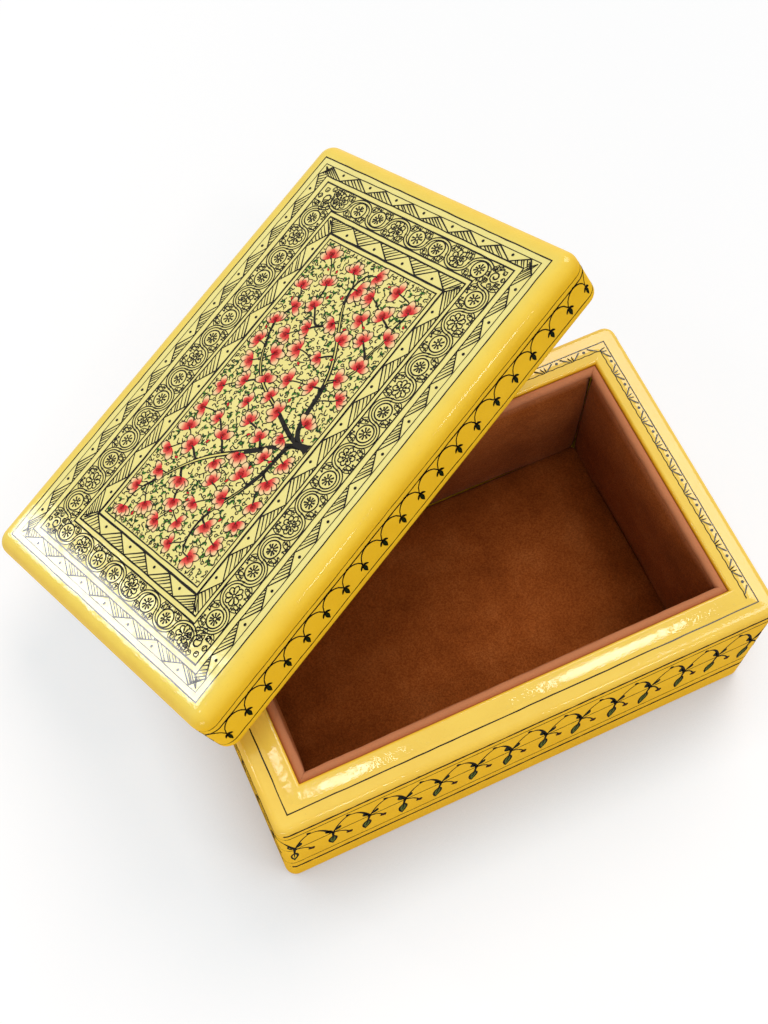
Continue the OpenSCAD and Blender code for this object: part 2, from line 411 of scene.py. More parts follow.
def puffed(name, verts, faces, pinned, cap, voxel=None):
    """Inflates a closed slab (mm) as cloth with the pinned points held, after a voxel remesh if
    asked for. Returns its points, moved by at most cap, and its faces."""
    mesh = bpy.data.meshes.new(name + "_sim")
    mesh.from_pydata([tuple(np.array(v) * SIM_SCALE * MM) for v in verts], [], faces)
    obj = link(name + "_sim", mesh)
    if voxel:
        remesh = obj.modifiers.new("remesh", "REMESH")
        remesh.mode, remesh.voxel_size = "VOXEL", voxel * SIM_SCALE * MM
        bake(obj)
    rest = read(obj)
    held = obj.vertex_groups.new(name="held")
    for i in np.nonzero(pinned(rest / SIM_SCALE / MM))[0]:
        held.add([int(i)], 1.0, "REPLACE")
    cloth = obj.modifiers.new("cloth", "CLOTH")
    s = cloth.settings
    s.quality, s.mass, s.bending_stiffness = 5, 0.3, 0.6
    s.tension_stiffness = s.compression_stiffness = 12
    s.use_pressure, s.uniform_pressure_force = True, 4.0
    s.effector_weights.gravity = 0
    s.vertex_group_mass = "held"
    cloth.point_cache.frame_start, cloth.point_cache.frame_end = 1, SIM_FRAMES
    for f in range(1, SIM_FRAMES + 1):
        bpy.context.scene.frame_set(f)
    bake(obj)
    bpy.context.scene.frame_set(1)
    move = (read(obj) - rest) / SIM_SCALE / MM
    length = np.maximum(np.linalg.norm(move, axis=1, keepdims=True), 1e-9)
    points = rest / SIM_SCALE / MM + move * cap * np.tanh(length / cap) / length
    polygons = [tuple(p.vertices) for p in obj.data.polygons]
    bpy.data.objects.remove(obj)
    return points, polygons


def suede_piece(name, points, faces, rub, body="case", place=None):
    return make(name, points, faces, body, SUEDE, {"rub": rub}, place, smooth=60)


def lining(node):
    """Hides the CAD lining that a finished pad stands for."""
    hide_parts(node)


def wall_pad(name, run, place, node):
    """A wall pad with its back on y = 0: a puffed slab, and a rolled bead along its top."""
    half = run / 2 - 0.03
    top = PAD_H - 1.1 * BEAD_R
    turn, back, spacing = 0.7, 1.3, 2.3
    deep, high = PAD_T - turn, top - turn
    slab = [(back, SKIN)]
    slab += [(deep + turn * sin(a), turn - turn * cos(a)) for a in (0, 0.5, 1.0)]
    slab += [(PAD_T, z) for z in np.linspace(turn, high, 24)]
    slab += [(deep + turn * cos(a), high + turn * sin(a)) for a in (0.5, 1.0, 1.57)]
    slab += [(back, top)] + [(0.1, z) for z in np.linspace(top, SKIN, 5)]
    verts, faces = swept(slab, half, int(run / spacing))

    def pinned(p):
        ends = np.abs(p[:, 0]) > half - p[:, 1] - 0.6
        return (p[:, 1] < PAD_T - 0.9) | (p[:, 2] > top - 0.6) | ends

    points, polygons = puffed(name, verts, faces, pinned, PAD_CROWN - 0.2)
    # A few soft pulls where the cloth is glued round the card
    rng = np.random.default_rng(len(name))
    x, y, z = points.T
    face, height = np.clip((y - 1.4) / 1.5, 0, 1), np.clip(z / top, 0, 1)
    for _ in range(6):
        at, lean = rng.uniform(-0.8, 0.8) * half, rng.uniform(-0.25, 0.25)
        width = rng.uniform(3, 7)
        dent = np.exp(-((x - at - lean * (z - top)) / width) ** 2)
        y += face * 0.2 * rng.uniform(-1, 0.6) * dent * height
    # Painted light: the pad's face lightens just under the bead, where light falls
    rub = np.clip((z - top + 3) / 9, 0, 0.3) * face
    obj = suede_piece(name, points, polygons, rub, place=place)
    subdivide(obj)
    circle = np.linspace(0, 2 * pi, 16, endpoint=False)
    roll = [(BEAD_R + BEAD_R * cos(a), PAD_H - BEAD_R + BEAD_R * sin(a)) for a in circle]
    verts, faces = swept(roll, half, 60)
    verts = np.array(verts)
    x, y, z = verts.T
    y += (0.06 * np.sin(x * 0.31 + len(name)) + 0.05 * np.sin(x * 0.83)) * (y > 1)
    # Painted highlight: the bead's upper half is lighter, where light catches it
    light = 0.3 + 0.45 * np.clip((z - PAD_H + 1.5 * BEAD_R) / BEAD_R, 0, 1)
    bead = suede_piece(name + "_bead", verts, faces, light, place=place)
    with bpy.context.temp_override(active_object=obj, selected_editable_objects=[obj, bead]):
        bpy.ops.object.join()
    lining(node)


def floor_pad():
    """The floor pad, puffed from a slab whose foot is held."""
    l, w, top = extent("lining_floor")
    shoulder, over = top - 2.2, 2.4   # the crown's foot, and what the walls hide of both ends
    rows = [(0.4, CASE_FLOOR + 0.05), (0, CASE_FLOOR + 0.5), (0, shoulder), (0.9, shoulder + 0.9)]
    verts, faces = loft(l + over, w + over, 0.8, rows)
    points, polygons = puffed("pad_floor", verts, faces, lambda p: p[:, 2] < shoulder - 0.6, 1.2,
                              voxel=2.2)
    points[:, 2] = np.minimum(points[:, 2], top - 0.05)
    obj = suede_piece("pad_floor", points, polygons, np.zeros(len(points)))
    subdivide(obj)
    lining("lining_floor")


def lid_panel():
    """The thin suede panel under the lid's top, with a turned edge and a faint crown."""
    inset = 2 * (LID_WALL + LID_PAD_GAP)
    ceiling = LID_H - LID_TOP_T
    low = ceiling - LID_PAD_T
    rows = [(9, low - 0.1), (3, low), (1.2, low + 0.08)] + arc(0.6, low + 0.7, 0.6, -90, 0, 4)
    rows += [(0, ceiling - 0.2), (0.15, ceiling - SKIN)]
    verts, faces = loft(LID_L - inset, LID_W - inset, 2, rows)
    obj = suede_piece("lid_suede", verts, faces, np.zeros(len(verts)), "lid")
    lining("lid_lining")


for side, run, x, y, turn in (("front", ROOM_L, 0, -ROOM_W / 2, 0),
                              ("back", ROOM_L, 0, ROOM_W / 2, 180),
                              ("left", ROOM_W, -ROOM_L / 2, 0, -90),
                              ("right", ROOM_W, ROOM_L / 2, 0, 90)):
    place = CASE @ Matrix.Translation((x, y, CASE_FLOOR))
    place = place @ Matrix.Rotation(radians(turn), 4, "Z")
    wall_pad("pad_" + side, run, place, "lining_" + side)
floor_pad()
lid_panel()


# ---- brush strokes ----

INK, SEPIA = srgb(22, 16, 8), srgb(50, 32, 8)
LEAF, LEAF_DARK, LEAF_DEEP = srgb(78, 138, 44), srgb(34, 88, 30), srgb(20, 34, 14)
FIELD, OLIVE, BROWN = srgb(236, 222, 124), srgb(84, 98, 36), srgb(60, 22, 10)
RED, ROSE, PEACH = (np.array(srgb(*c)) for c in ((220, 20, 38), (242, 118, 92), (250, 214, 156)))
PAINT = painted("brush_paint", 0.5)
SIDE_PAINT = painted("side_paint", 0.06)
LIFT, SINK = 0.05, 0.07   # a stroke's height over the lacquer and its wedge's depth under it


def unit(v):
    """Each row of v at length 1."""
    return v / np.maximum(np.linalg.norm(v, axis=-1, keepdims=True), 1e-9)


class Ink:
    """Brush strokes on one surface, in one piece. Each is a thin closed wedge with a flat top."""

    drawn = []   # in the order of the pieces

    def __init__(self, name, surface, seed, paint):
        self.name, self.surface, self.paint = name, surface, paint
        self.rng = random.Random(seed)
        self.vary = self.rng.uniform
        self.verts, self.quads, self.ends, self.colours, self.count = [], [], [], [], 0
        self.drawn.append(self)

    def stroke(self, path, width, colour=INK, lift=LIFT, closed=False):
        """path: (u, v) points in mm. width and colour: one value, or one for each point."""
        p = np.asarray(path, dtype=float)
        n = len(p)
        if n < 2:
            return
        step = np.roll(p, -1, axis=0) - p
        if not closed:
            step[-1] = step[-2]
        step = unit(step)
        before = np.roll(step, 1, axis=0)
        if not closed:
            before[0] = step[0]
        along = unit(step + before)
        mitre = 1 / np.clip((along * step).sum(axis=1), 0.55, 1)
        left = np.stack([-along[:, 1], along[:, 0]], axis=1) * mitre[:, None]
        half = np.broadcast_to(np.asarray(width, dtype=float) / 2, n)[:, None]
        edges = ((p + left * half, lift), (p - left * half, lift), (p, -SINK))
        rows = [self.surface(q[:, 0], q[:, 1], h) for q, h in edges]
        self.verts.append(np.stack(rows, axis=1).reshape(-1, 3))
        a = self.count + 3 * np.arange(n if closed else n - 1)
        b = self.count + 3 * ((np.arange(len(a)) + 1) % n)
        sides = ((a + 1, b + 1, b, a), (a, b, b + 2, a + 2), (a + 1, a + 2, b + 2, b + 1))
        self.quads += [np.stack(q, axis=1) for q in sides]
        if not closed:
            first, last = self.count, self.count + 3 * (n - 1)
            self.ends += [(first, first + 2, first + 1), (last, last + 1, last + 2)]
        tint = np.broadcast_to(np.asarray(colour, dtype=float), (n, 3))
        self.colours.append(np.repeat(tint, 3, axis=0))
        self.count += 3 * n

    def ruled(self, half_l, half_w, width, wobble=0.05, every=4.0):
        """A rectangle ruled by hand: resampled, with a slight wobble of place and weight."""
        p = np.array([(sx * half_l, sy * half_w) for sx, sy in
                      ((-1, -1), (1, -1), (1, 1), (-1, 1), (-1, -1))])
        out = []
        for a, b in zip(p[:-1], p[1:]):
            far = np.linalg.norm(b - a)
            n = int(far / every)
            side = np.array([a[1] - b[1], b[0] - a[0]]) / far
            for i in range(n):
                drift = 0 if i == 0 else self.rng.gauss(0, wobble)
                out.append(a + (b - a) * i / n + side * drift)
        self.stroke(out, [width * (1 + self.rng.gauss(0, 0.09)) for _ in out], closed=True)

    def dot(self, at, r):
        a = np.linspace(-1, 1, 7)
        width = 2 * r * np.sqrt(np.maximum(1 - a * a, 0.01))
        self.stroke([(at[0] + r * x, at[1]) for x in a], width, lift=0.055)

    def circle(self, at, r, width, steps):
        points = [polar(at, 360 * i / steps, r) for i in range(steps)]
        self.stroke(points, width, closed=True)

    def almond(self, base, tip, width, colour, outline=0.0, bend=0.0, lift=LIFT, hatch=0, edge=INK,
               steps=8):
        """A leaf from base to tip: a filled body where colour is given, a drawn outline where its
        weight is, and short inner hatches."""
        base, tip = np.array(base), np.array(tip)
        along = tip - base
        side = unit(np.array([-along[1], along[0]]))
        t = np.linspace(0, 1, steps)
        spine = base + along * t[:, None] + side * (bend * np.sin(np.pi * t))[:, None]
        body = width * np.maximum(np.sin(np.pi * t ** 0.85), 0.06)
        if colour is not None:
            self.stroke(spine, body, colour, lift)
        above = lift + 0.02
        if outline:
            left, right = spine + side * body[:, None] / 2, spine - side * body[:, None] / 2
            rim = np.concatenate([left, right[::-1][1:-1]])
            self.stroke(rim, outline, edge, above, closed=True)
        for k in range(hatch):
            at = spine[0] + along * (0.3 + 0.45 * k / max(1, hatch - 1)) + side * bend * 0.8
            ends = [at - side * width * 0.28, at + side * width * 0.22 + along * 0.06]
            self.stroke(ends, outline, edge, above)

    def piece(self):
        """Makes the piece, on the lacquer of the lid or the case."""
        body = "lid" if self.name.startswith("lid") else "case"
        faces = np.concatenate(self.quads).tolist() + self.ends
        colours = {"paint": np.concatenate(self.colours)}
        obj = make(self.name, np.concatenate(self.verts), faces, body, self.paint, colours)


def heading(way):
    return np.array([cos(radians(way)), sin(radians(way))])


def polar(at, way, far):
    """The point that lies far from at, in a direction in degrees."""
    return np.asarray(at) + heading(way) * far


def bezier(*controls, steps=10):
    """Points of a Bezier curve of any degree."""
    t = np.linspace(0, 1, steps)[:, None]
    level = [np.array(c, dtype=float) + 0 * t for c in controls]
    while len(level) > 1:
        level = [a + (b - a) * t for a, b in zip(level, level[1:])]
    return level[0]


def flat(z):
    """A level surface at height z."""
    return lambda x, y, h: np.stack([x, y, z + h + 0 * x], axis=1)


def wrap(l, w, r):
    """The upright sides of an l x w box with corner radius r. u runs round it from the front left
    corner and v is the height."""
    def surface(u, v, h):
        u = np.mod(u, 2 * (l + w))
        corners = np.array([0, l, l + w, 2 * l + w])
        side = np.searchsorted(corners, u, side="right") - 1
        run = np.where(side % 2 == 0, l, w)
        s = u - corners[side] - run / 2
        beyond = np.clip(np.abs(s) - (run / 2 - r), 0, r)
        a = np.sign(s) * beyond / r * pi / 4
        along = np.sign(s) * np.minimum(np.abs(s), run / 2 - r) + (r + h) * np.sin(a)
        out = np.where(side % 2 == 0, w, l) / 2 - r + (r + h) * np.cos(a)
        ax, ay = np.array([1, 0, -1, 0])[side], np.array([0, 1, 0, -1])[side]
        return np.stack([ax * along + ay * out, ay * along - ax * out, v + 0 * u], axis=1)
    return surface


def band_sides(outer, inner):
    """The four strips between two rectangles (half length, half width): for each a function from
    (s, t) to (x, y), the strip's length and its depth."""
    (a, b), (c, d) = outer, inner
    return [(lambda s, t: (-a + s, -b + t), 2 * a, b - d),
            (lambda s, t: (a - t, -b + s), 2 * b, a - c),
            (lambda s, t: (a - s, b - t), 2 * a, b - d),
            (lambda s, t: (-a + t, b - s), 2 * b, a - c)]


LID_TOP, LID_SIDES = flat(LID_H), wrap(LID_L, LID_W, LID_CORNER_R)
CASE_SIDES = wrap(BASE_L, BASE_W, CORNER_R)


# ---- bands of the lid's top ----

# Ruled rectangles, as insets from the outermost along the length and across the width, with the
# line's weight, and the pairs of them that bound each band
FRAME_L, FRAME_W = LID_L - 2 * FRAME_INSET, LID_W - 2 * FRAME_INSET
RULES = [(0, 0, 0.48), (2.25, 2.65, 0.34), (6.3, 7.1, 0.48), (8.35, 9.6, 0.6), (17.6, 20.8, 0.6),
         (19.55, 22.4, 0.6), (24.95, 27.9, 0.85), (26.9, 29.7, 0.5)]
RECTANGLES = [(FRAME_L / 2 - along, FRAME_W / 2 - across) for along, across, _ in RULES]
OUTER_BAND, SCROLL_BAND, INNER_BAND = RECTANGLES[1:3], RECTANGLES[3:5], RECTANGLES[5:7]
PANEL_L, PANEL_W = RECTANGLES[7]


def zigzag(ink, band, counts, base_outer):
    """Dotted triangles with hatched ones between them. counts: along a long and a short side.
    The dotted ones stand on the band's outer line if base_outer, or else on the inner."""
    hatches, low, high = 6, 0.06, 0.97
    for k, (at, length, depth) in enumerate(band_sides(*band)):
        n = counts[k % 2]
        start = depth * 1.05
        step = (length - 2 * start) / n
        base, rise = (0.0, depth) if base_outer else (depth, -depth)

        def spot(s, f):
            return at(s, base + rise * f)

        for i in range(n + 1):
            s = start + i * step
            tip = s + ink.vary(-0.3, 0.3)
            # The hatched triangle hangs from the far line down to its tip on the near line
            left = s - (start * 0.75 if i == 0 else step / 2)
            right = s + (start * 0.75 if i == n else step / 2)
            ink.stroke([spot(left, high), spot(tip, low)], (0.42, 0.6))
            ink.stroke([spot(tip, low), spot(right, high)], (0.6, 0.42))
            for j in range(1, hatches + 1):
                f = j / (hatches + 1) + ink.vary(-0.03, 0.03)
                top = right + (left - right) * f * 0.96
                foot, level = tip + (right - tip) * (1 - f), low + (high - low) * (1 - f)
                bow = spot((foot + top) / 2 + 0.1, (level + high) / 2)
                ink.stroke([spot(foot, level), bow, spot(top, high)], (0.52, 0.42, 0.24))
            if i < n:
                ink.dot(spot(s + step / 2 + ink.vary(-0.3, 0.3), 0.36), 0.58)
        # A fan of strokes in the corner
        for f in (0.25, 0.5, 0.75):
            tip = at(depth * (0.35 + 0.6 * f), depth * (0.95 - 0.3 * f))
            ink.stroke([at(depth * 0.2, depth * 0.2), tip], (0.45, 0.2))


def rosette(ink, at, r, scalloped):
    """A round flower: rim, ring of radial strokes and a hollow eye."""
    if scalloped:
        a = np.linspace(0, 360, 8, endpoint=False) + ink.vary(0, 45)
        lobe = ((0, 0.74), (8, 0.96), (22.5, 1.06), (37, 0.96))
        ink.stroke([polar(at, x + d, r * f) for x in a for d, f in lobe], 0.46, closed=True)
        for x in a:
            ink.stroke([polar(at, x, r * 0.74), polar(at, x, r * 0.42)], (0.34, 0.5))
    else:
        ink.circle(at, r, 0.54, steps=22)
    count = ink.rng.choice((8, 9, 10))
    for i in range(count):
        a = 360 * i / count + ink.vary(-6, 6)
        ray = [polar(at, a, r * 0.26), polar(at, a, r * (0.6 + ink.vary(0, 0.14)))]
        ink.stroke(ray, (0.42, 0.8))
    ink.circle(at, r * 0.2, 0.42, steps=9)


def scroll_band(ink, band, counts):
    """A double stem that runs round rosettes in turn, with leaves and curls in the gaps.
    counts: rosettes along a long and a short side."""
    scallop = ((-0.45, 0), (-0.25, 0.7), (0.25, 0.7), (0.45, 0))
    for k, (at, length, depth) in enumerate(band_sides(*band)):
        n = counts[k % 2]
        first, margin = depth * 1.3, depth * 0.75
        pitch = (length - 2 * first) / (n - 1)
        middle, swing, r = depth / 2, depth / 2 - 0.85, min(3.2, 0.345 * depth)
        for shift in (-0.5, 0.5):
            path = []
            for i in range(-1, n + 1):
                up = 1 if i % 2 else -1
                grow = shift * up
                for q in np.radians(np.arange(180, -1, -15)):
                    s = first + i * pitch + (pitch / 2 + grow) * cos(q)
                    if margin < s < length - margin:
                        path.append(at(s, middle + up * (swing + grow) * sin(q)))
            ink.stroke(path, 0.46)
        for i in range(n):
            s, up = first + i * pitch, 1 if i % 2 else -1
            heart = at(s + ink.vary(-0.2, 0.2), middle - up * 0.1)
            rosette(ink, heart, r, i % 3 == 1)
            # Scallops along the free side of the bay
            free = depth - 0.4 if up < 0 else 0.4
            for far in (-1.45, -2.4, -3.35, 1.45, 2.4, 3.35):
                ink.stroke([at(s + far + x, free + up * y) for x, y in scallop], 0.34)
        for i in range(n + 1):
            s, sign = first + (i - 0.5) * pitch, 1 if i % 2 else -1
            for far in (1, -1):
                # Leaves that turn out of the stem against each band line
                side = sign * far
                edge = middle - side * (depth / 2 - 0.5)
                for lean, wide in ((0.7, 1.4), (2.3, 1.6)):
                    ink.almond(at(s + far * lean * 0.4, middle - side * 0.42 * swing),
                               at(s + far * lean, edge), wide, None, 0.34, bend=0.3 * side, hatch=1)
                ink.dot(at(s + far * 3.5, middle - side * swing * 0.9), 0.42)
        # A swirl and leaves fill the corner square
        heart = (depth / 2, depth / 2)
        turn = [polar(heart, a, depth * (0.06 + 0.2 * a / 520)) for a in range(0, 521, 40)]
        ink.stroke([at(*p) for p in turn], np.linspace(0.7, 0.42, len(turn)))
        for a in range(0, 360, 45):
            base, tip = polar(heart, a, depth * 0.29), polar(heart, a, depth * 0.47)
            ink.almond(at(*base), at(*tip), depth * 0.17, None, 0.38, hatch=1)


def lid_top():
    """Ruled frames, two zigzag bands and the scroll band of the lid's top."""
    rules = Ink("lid_rules", LID_TOP, 1, PAINT)
    for half, (_, _, weight) in zip(RECTANGLES, RULES):
        rules.ruled(*half, weight)
    teeth = Ink("lid_zigzags", LID_TOP, 2, PAINT)
    zigzag(teeth, OUTER_BAND, (12, 7), True)
    zigzag(teeth, INNER_BAND, (8, 4), False)
    scroll_band(Ink("lid_scroll", LID_TOP, 3, PAINT), SCROLL_BAND, (15, 8))


# ---- tree panel ----

# The root, the fork and the Bezier controls of the four main limbs: along the panel from its
# middle, and up from its lower edge
ROOT, FORK = (-5.0, -PANEL_W + 0.4), (-5.6, -PANEL_W + 3.4)
LIMBS = (((-7, 15), (-17, 3), (-30, 9), (-38, 24), (-54, 16)),
         ((-3, 14), (9, 14), (20, 3), (32, 22), (42, 38), (55, 30)),
         ((-9, 18), (-22, 17), (-18, 36), (-32, 40), (-46, 49)),
         ((-5, 20), (8, 22), (-2, 40), (10, 44), (25, 51)))
TWIG, THICKEST = 0.48, 1.9            # widths of a twig and of a main limb
HOLLOW_OVER, HOLLOW_FROM = 1.05, 23   # least width of a hollow limb, and distance from the root
HOLLOW_EDGE = 1.0                     # width of a hollow limb's two lines together
FLOWER_GAP, SPRIG_GAP = 7.9, 1.85     # least distances between blossoms and between sprigs


def scattered(rng, half_l, half_w, gap, tries, keep, near=()):
    """Random points within a rectangle that keep says yes to, at least gap apart and from near."""
    grid, points = {}, []

    def key(p):
        return int(p[0] // gap), int(p[1] // gap)

    for p in near:
        grid.setdefault(key(p), []).append(p)
    for _ in range(tries):
        p = (rng.uniform(-half_l, half_l), rng.uniform(-half_w, half_w))
        kx, ky = key(p)
        close = (q for i in (-1, 0, 1) for j in (-1, 0, 1) for q in grid.get((kx + i, ky + j), ()))
        if keep(p) and all(dist(p, q) >= gap for q in close):
            points.append(p)
            grid.setdefault((kx, ky), []).append(p)
    return points


class Tree:
    """Branches that grow towards every blossom. A node is a place, a direction and a parent."""

    def __init__(self):
        self.at, self.way, self.parent = [np.array(ROOT)], [np.array((0.0, 1.0))], [-1]
        self.chains = []
        trunk = self.grow(0, bezier(ROOT, FORK, steps=3))
        for limb in LIMBS:
            controls = [(along, up - PANEL_W) for along, up in limb]
            self.grow(trunk, bezier(FORK, *controls, steps=24))

    def grow(self, start, points):
        """Adds a chain of nodes from node start along points, and returns the last one's index."""
        chain, parent = [start], start
        for a, b in zip(points, points[1:]):
            self.at.append(b)
            self.way.append(unit(b - a))
            self.parent.append(parent)
            parent = len(self.at) - 1
            chain.append(parent)
        self.chains.append(chain)
        return parent

    def reach(self, goal):
        """Grows a twig to goal from the node that leads there best, and returns its last step."""
        at, way = np.array(self.at), np.array(self.way)
        to = goal - at
        far = np.linalg.norm(to, axis=1)
        turn = 1 - (to * way).sum(axis=1) / np.maximum(far, 1e-9)
        cost = far * (1 + 0.9 * turn) + np.where(far < 1.5, 4, 0)
        cost[:3] = 1e9   # never from the trunk
        start = int(np.argmin(cost))
        a, d, (x, y) = self.at[start], far[start], to[start]
        leave = a + self.way[start] * d * 0.42
        arrive = polar(goal, degrees(atan2(y, x)) + 14, -0.3 * d)
        points = bezier(a, leave, arrive, goal, steps=max(4, int(d / 1.3)))
        self.grow(start, points)
        return points[-1] - points[-2]

    def draw(self, ink):
        """Strokes every chain, thicker the more twigs it carries."""
        load = np.zeros(len(self.at))
        for chain in self.chains:
            load[chain[-1]] += 1
        for i in range(len(self.at) - 1, 0, -1):
            load[self.parent[i]] += load[i]
        width = np.minimum(TWIG + 0.28 * np.maximum(load - 1, 0) ** 0.6, THICKEST)
        for chain in self.chains:
            w = width[chain].copy()
            w[0] = w[1]
            for _ in range(4 if len(w) > 6 else 0):
                w[1:-1] = (w[:-2] + w[1:-1] + w[2:]) / 3
            ink.stroke([self.at[i] for i in chain], w, lift=0.06)
            # Middling limbs are drawn as two lines with the field between them
            hollow = [k for k, i in enumerate(chain)
                      if w[k] > HOLLOW_OVER and dist(self.at[i], ROOT) > HOLLOW_FROM]
            if len(hollow) > 3:
                inner = [max(0.2, w[k] - HOLLOW_EDGE) * min(1, 0.3 + 0.12 * j)
                         for j, k in enumerate(hollow)]
                ink.stroke([self.at[chain[k]] for k in hollow], inner, FIELD, lift=0.065)


def blossom(petals, edges, at, way, size):
    """A half-open flower seen from the side: a fan of pale pointed petals round a red heart, each
    with a drawn edge."""
    vary = petals.vary
    facing = degrees(atan2(way[1], way[0])) + vary(-40, 40)
    count = petals.rng.choice((3, 4, 5))
    spread = vary(58, 80)
    t = np.array([0, 0.18, 0.36, 0.55, 0.75, 0.9, 1.0])
    form = np.array([0.4, 0.7, 0.92, 1.0, 0.92, 0.6, 0.1])
    pale = np.clip((t - 0.3) / 0.42, 0, 1)[:, None] * 2
    tint = np.where(pale < 1, RED + (ROSE - RED) * pale, ROSE + (PEACH - ROSE) * (pale - 1))
    for layer, i in enumerate(sorted(range(count), key=lambda i: -abs(i - (count - 1) / 2))):
        a = facing - spread + 2 * spread * i / (count - 1) + vary(-5, 5)
        long, wide = size * vary(0.56, 0.7), size * vary(0.34, 0.42)
        bow = np.sin(np.pi * t) * vary(-0.2, 0.2)
        path = at + heading(a) * long * t[:, None] + heading(a + 90) * bow[:, None]
        lift = 0.065 + 0.006 * layer
        petals.stroke(path, wide * form, tint, lift)
        side = heading(a + 90) * (wide * form[2:, None] / 2)
        rim = np.concatenate([path[2:] + side, (path[2:] - side)[::-1]])
        edges.stroke(rim, 0.34, SEPIA, lift + 0.004)
    # The red heart on top, strongest at the calyx
    t = np.array([0, 0.3, 0.65, 1.0])
    form = np.array([0.5, 1.0, 0.9, 0.35])
    tint = RED + (ROSE - RED) * 0.8 * t[:, None] ** 2
    for a, reach in ((facing - 42, 0.34), (facing + 40, 0.34), (facing, 0.42)):
        long = size * reach * vary(0.9, 1.1)
        petals.stroke(at + heading(a) * long * t[:, None], size * 0.32 * form, tint, 0.108)
    calyx = [polar(at, facing, -0.12 * size), polar(at, facing, 0.05 * size)]
    petals.stroke(calyx, (0.3, 0.6), LEAF_DEEP, 0.115)


def bud(petals, at, a, size):
    petals.almond(at, polar(at, a, size), size * 0.62, RED, 0.12, lift=0.07, edge=SEPIA, steps=6)
    petals.almond(at, polar(at, a + 28, size * 0.6), size * 0.28, LEAF, lift=0.09, steps=4)


def sprig(filler, leaves, at):
    """A curl, a pair of leaves on a stalk, or a berry."""
    rng, vary = filler.rng, filler.vary
    kind, a = rng.random(), vary(0, 360)
    if kind < 0.5:
        turn = rng.choice((-1, 1)) * vary(150, 240)
        r = vary(0.55, 0.9)
        curl = [polar(at, a + turn * f, r * (1 - 0.4 * f)) for f in np.linspace(0, 1, 6)]
        tail = polar(polar(at, a, r), a - copysign(60, turn), r * 1.3)
        filler.stroke([tail, *curl], (0.3, 0.42, 0.46, 0.44, 0.4, 0.4, 0.3))
        if kind < 0.2:
            leaves.almond(tail, polar(tail, a + 40, 1.2), 0.6, LEAF_DARK, steps=5)
    elif kind < 0.86:
        for d in (-34, 38):
            colour = LEAF if leaves.rng.random() < 0.6 else LEAF_DARK
            tip = polar(at, a + d, vary(1.3, 1.9))
            leaves.almond(at, tip, 0.85, colour, steps=5, lift=0.055)
            bow = polar((at + tip) / 2, a + d + 90, 0.42)
            filler.stroke([at, bow, tip], (0.38, 0.34, 0.24), lift=0.06)
        filler.stroke([polar(at, a, -1.2), at], 0.36)
    else:
        filler.circle(at, 0.55, 0.36, steps=8)
        filler.stroke([polar(at, a, -0.5), polar(at, a, -1.4)], (0.42, 0.3))


def tree_panel():
    """The blossoming tree that fills the lid's inner panel."""
    names = ("lid_tree", "lid_blossoms", "lid_tendrils", "lid_leaves")
    wood, petals, filler, leaves = (Ink(n, LID_TOP, i, PAINT) for i, n in enumerate(names, 11))
    tree, rng, vary, placed = Tree(), petals.rng, petals.vary, []

    def off_trunk(p):
        return hypot(p[0] - FORK[0], (p[1] - FORK[1]) / 1.3) > 6.2

    flowers = scattered(rng, PANEL_L - 4.0, PANEL_W - 3.6, FLOWER_GAP, 5000, off_trunk)
    for p in sorted(flowers, key=lambda p: dist(p, FORK)):
        p = np.array(p)
        way = tree.reach(p)
        blossom(petals, filler, p, way, vary(6.4, 8.0))
        placed.append(p)
        if rng.random() < 0.4:
            a = vary(0, 360)
            q = polar(p, a, vary(4.2, 4.8))
            if abs(q[0]) < PANEL_L - 1.6 and abs(q[1]) < PANEL_W - 1.6:
                bud(petals, q, a, vary(1.6, 2.1))
    tree.draw(wood)
    trunk = bezier((ROOT[0] - 0.2, ROOT[1]), (ROOT[0], ROOT[1] + 3.0), (FORK[0] - 0.4, FORK[1] + 4),
                   steps=6)
    wood.stroke(trunk, (4.4, 3.0, 2.5, 2.1, 1.8, 1.3), lift=0.066)

    def free(p):
        return all(dist(p, q) > 2.9 for q in placed) and dist(p, ROOT) > 4

    crowns = [polar(p, a, 0.9) for p in placed for a in (0, 120, 240)]
    for p in scattered(filler.rng, PANEL_L - 1.2, PANEL_W - 1.2, SPRIG_GAP, 60000, free, crowns):
        sprig(filler, leaves, np.array(p))
    # Small hooks along the panel's edge
    edge = [(PANEL_L - d, PANEL_W - d) for d in (0.5, 1.5)]
    for at, length, _ in band_sides(*edge):
        for s in np.arange(1.2, length - 1, 2.1):
            s += filler.vary(-0.3, 0.3)
            hook = [at(s + x, y) for x, y in ((0, 0.1), (0.35, 0.5), (0.1, 1.0), (-0.5, 1.05))]
            filler.stroke(hook, (0.4, 0.3, 0.28, 0.2))


# ---- sides and rim ----

LID_LINE, LID_LOW_LINE = LID_H - 8.4, 3.3   # heights of the lines on the lid's sides
ARCH, VINE = 9.5, 13.05                     # wished pitches of the arches and of the vine
NODE_Z, CREST_Z = 41.2, 54.7                # heights of the vine's nodes and crests
CASE_LINES = ((63.2, 1.5, INK), (58.7, 0.6, SEPIA), (NODE_Z, 0.6, SEPIA), (21.2, 0.6, SEPIA),
              (14.8, 1.7, INK))
RIM_LINE = 5.7                              # inset of the ledge's black line


def around(ink, l, w, z, width, colour=INK):
    """A hand-drawn line round the sides at height z."""
    total = 2 * (l + w)
    count = int(total / 1.6)
    drift, path, weights = 0.0, [], []
    for i in range(count):
        drift = drift * 0.85 + ink.rng.gauss(0, 0.04)
        path.append((total * i / count, z + drift))
        weights.append(width * (1 + ink.rng.gauss(0, 0.12)))
    ink.stroke(path, weights, colour, closed=True)


def repeats(l, w, wished):
    """Count and pitch of a motif that goes evenly round the sides."""
    count = round(2 * (l + w) / wished)
    return count, 2 * (l + w) / count


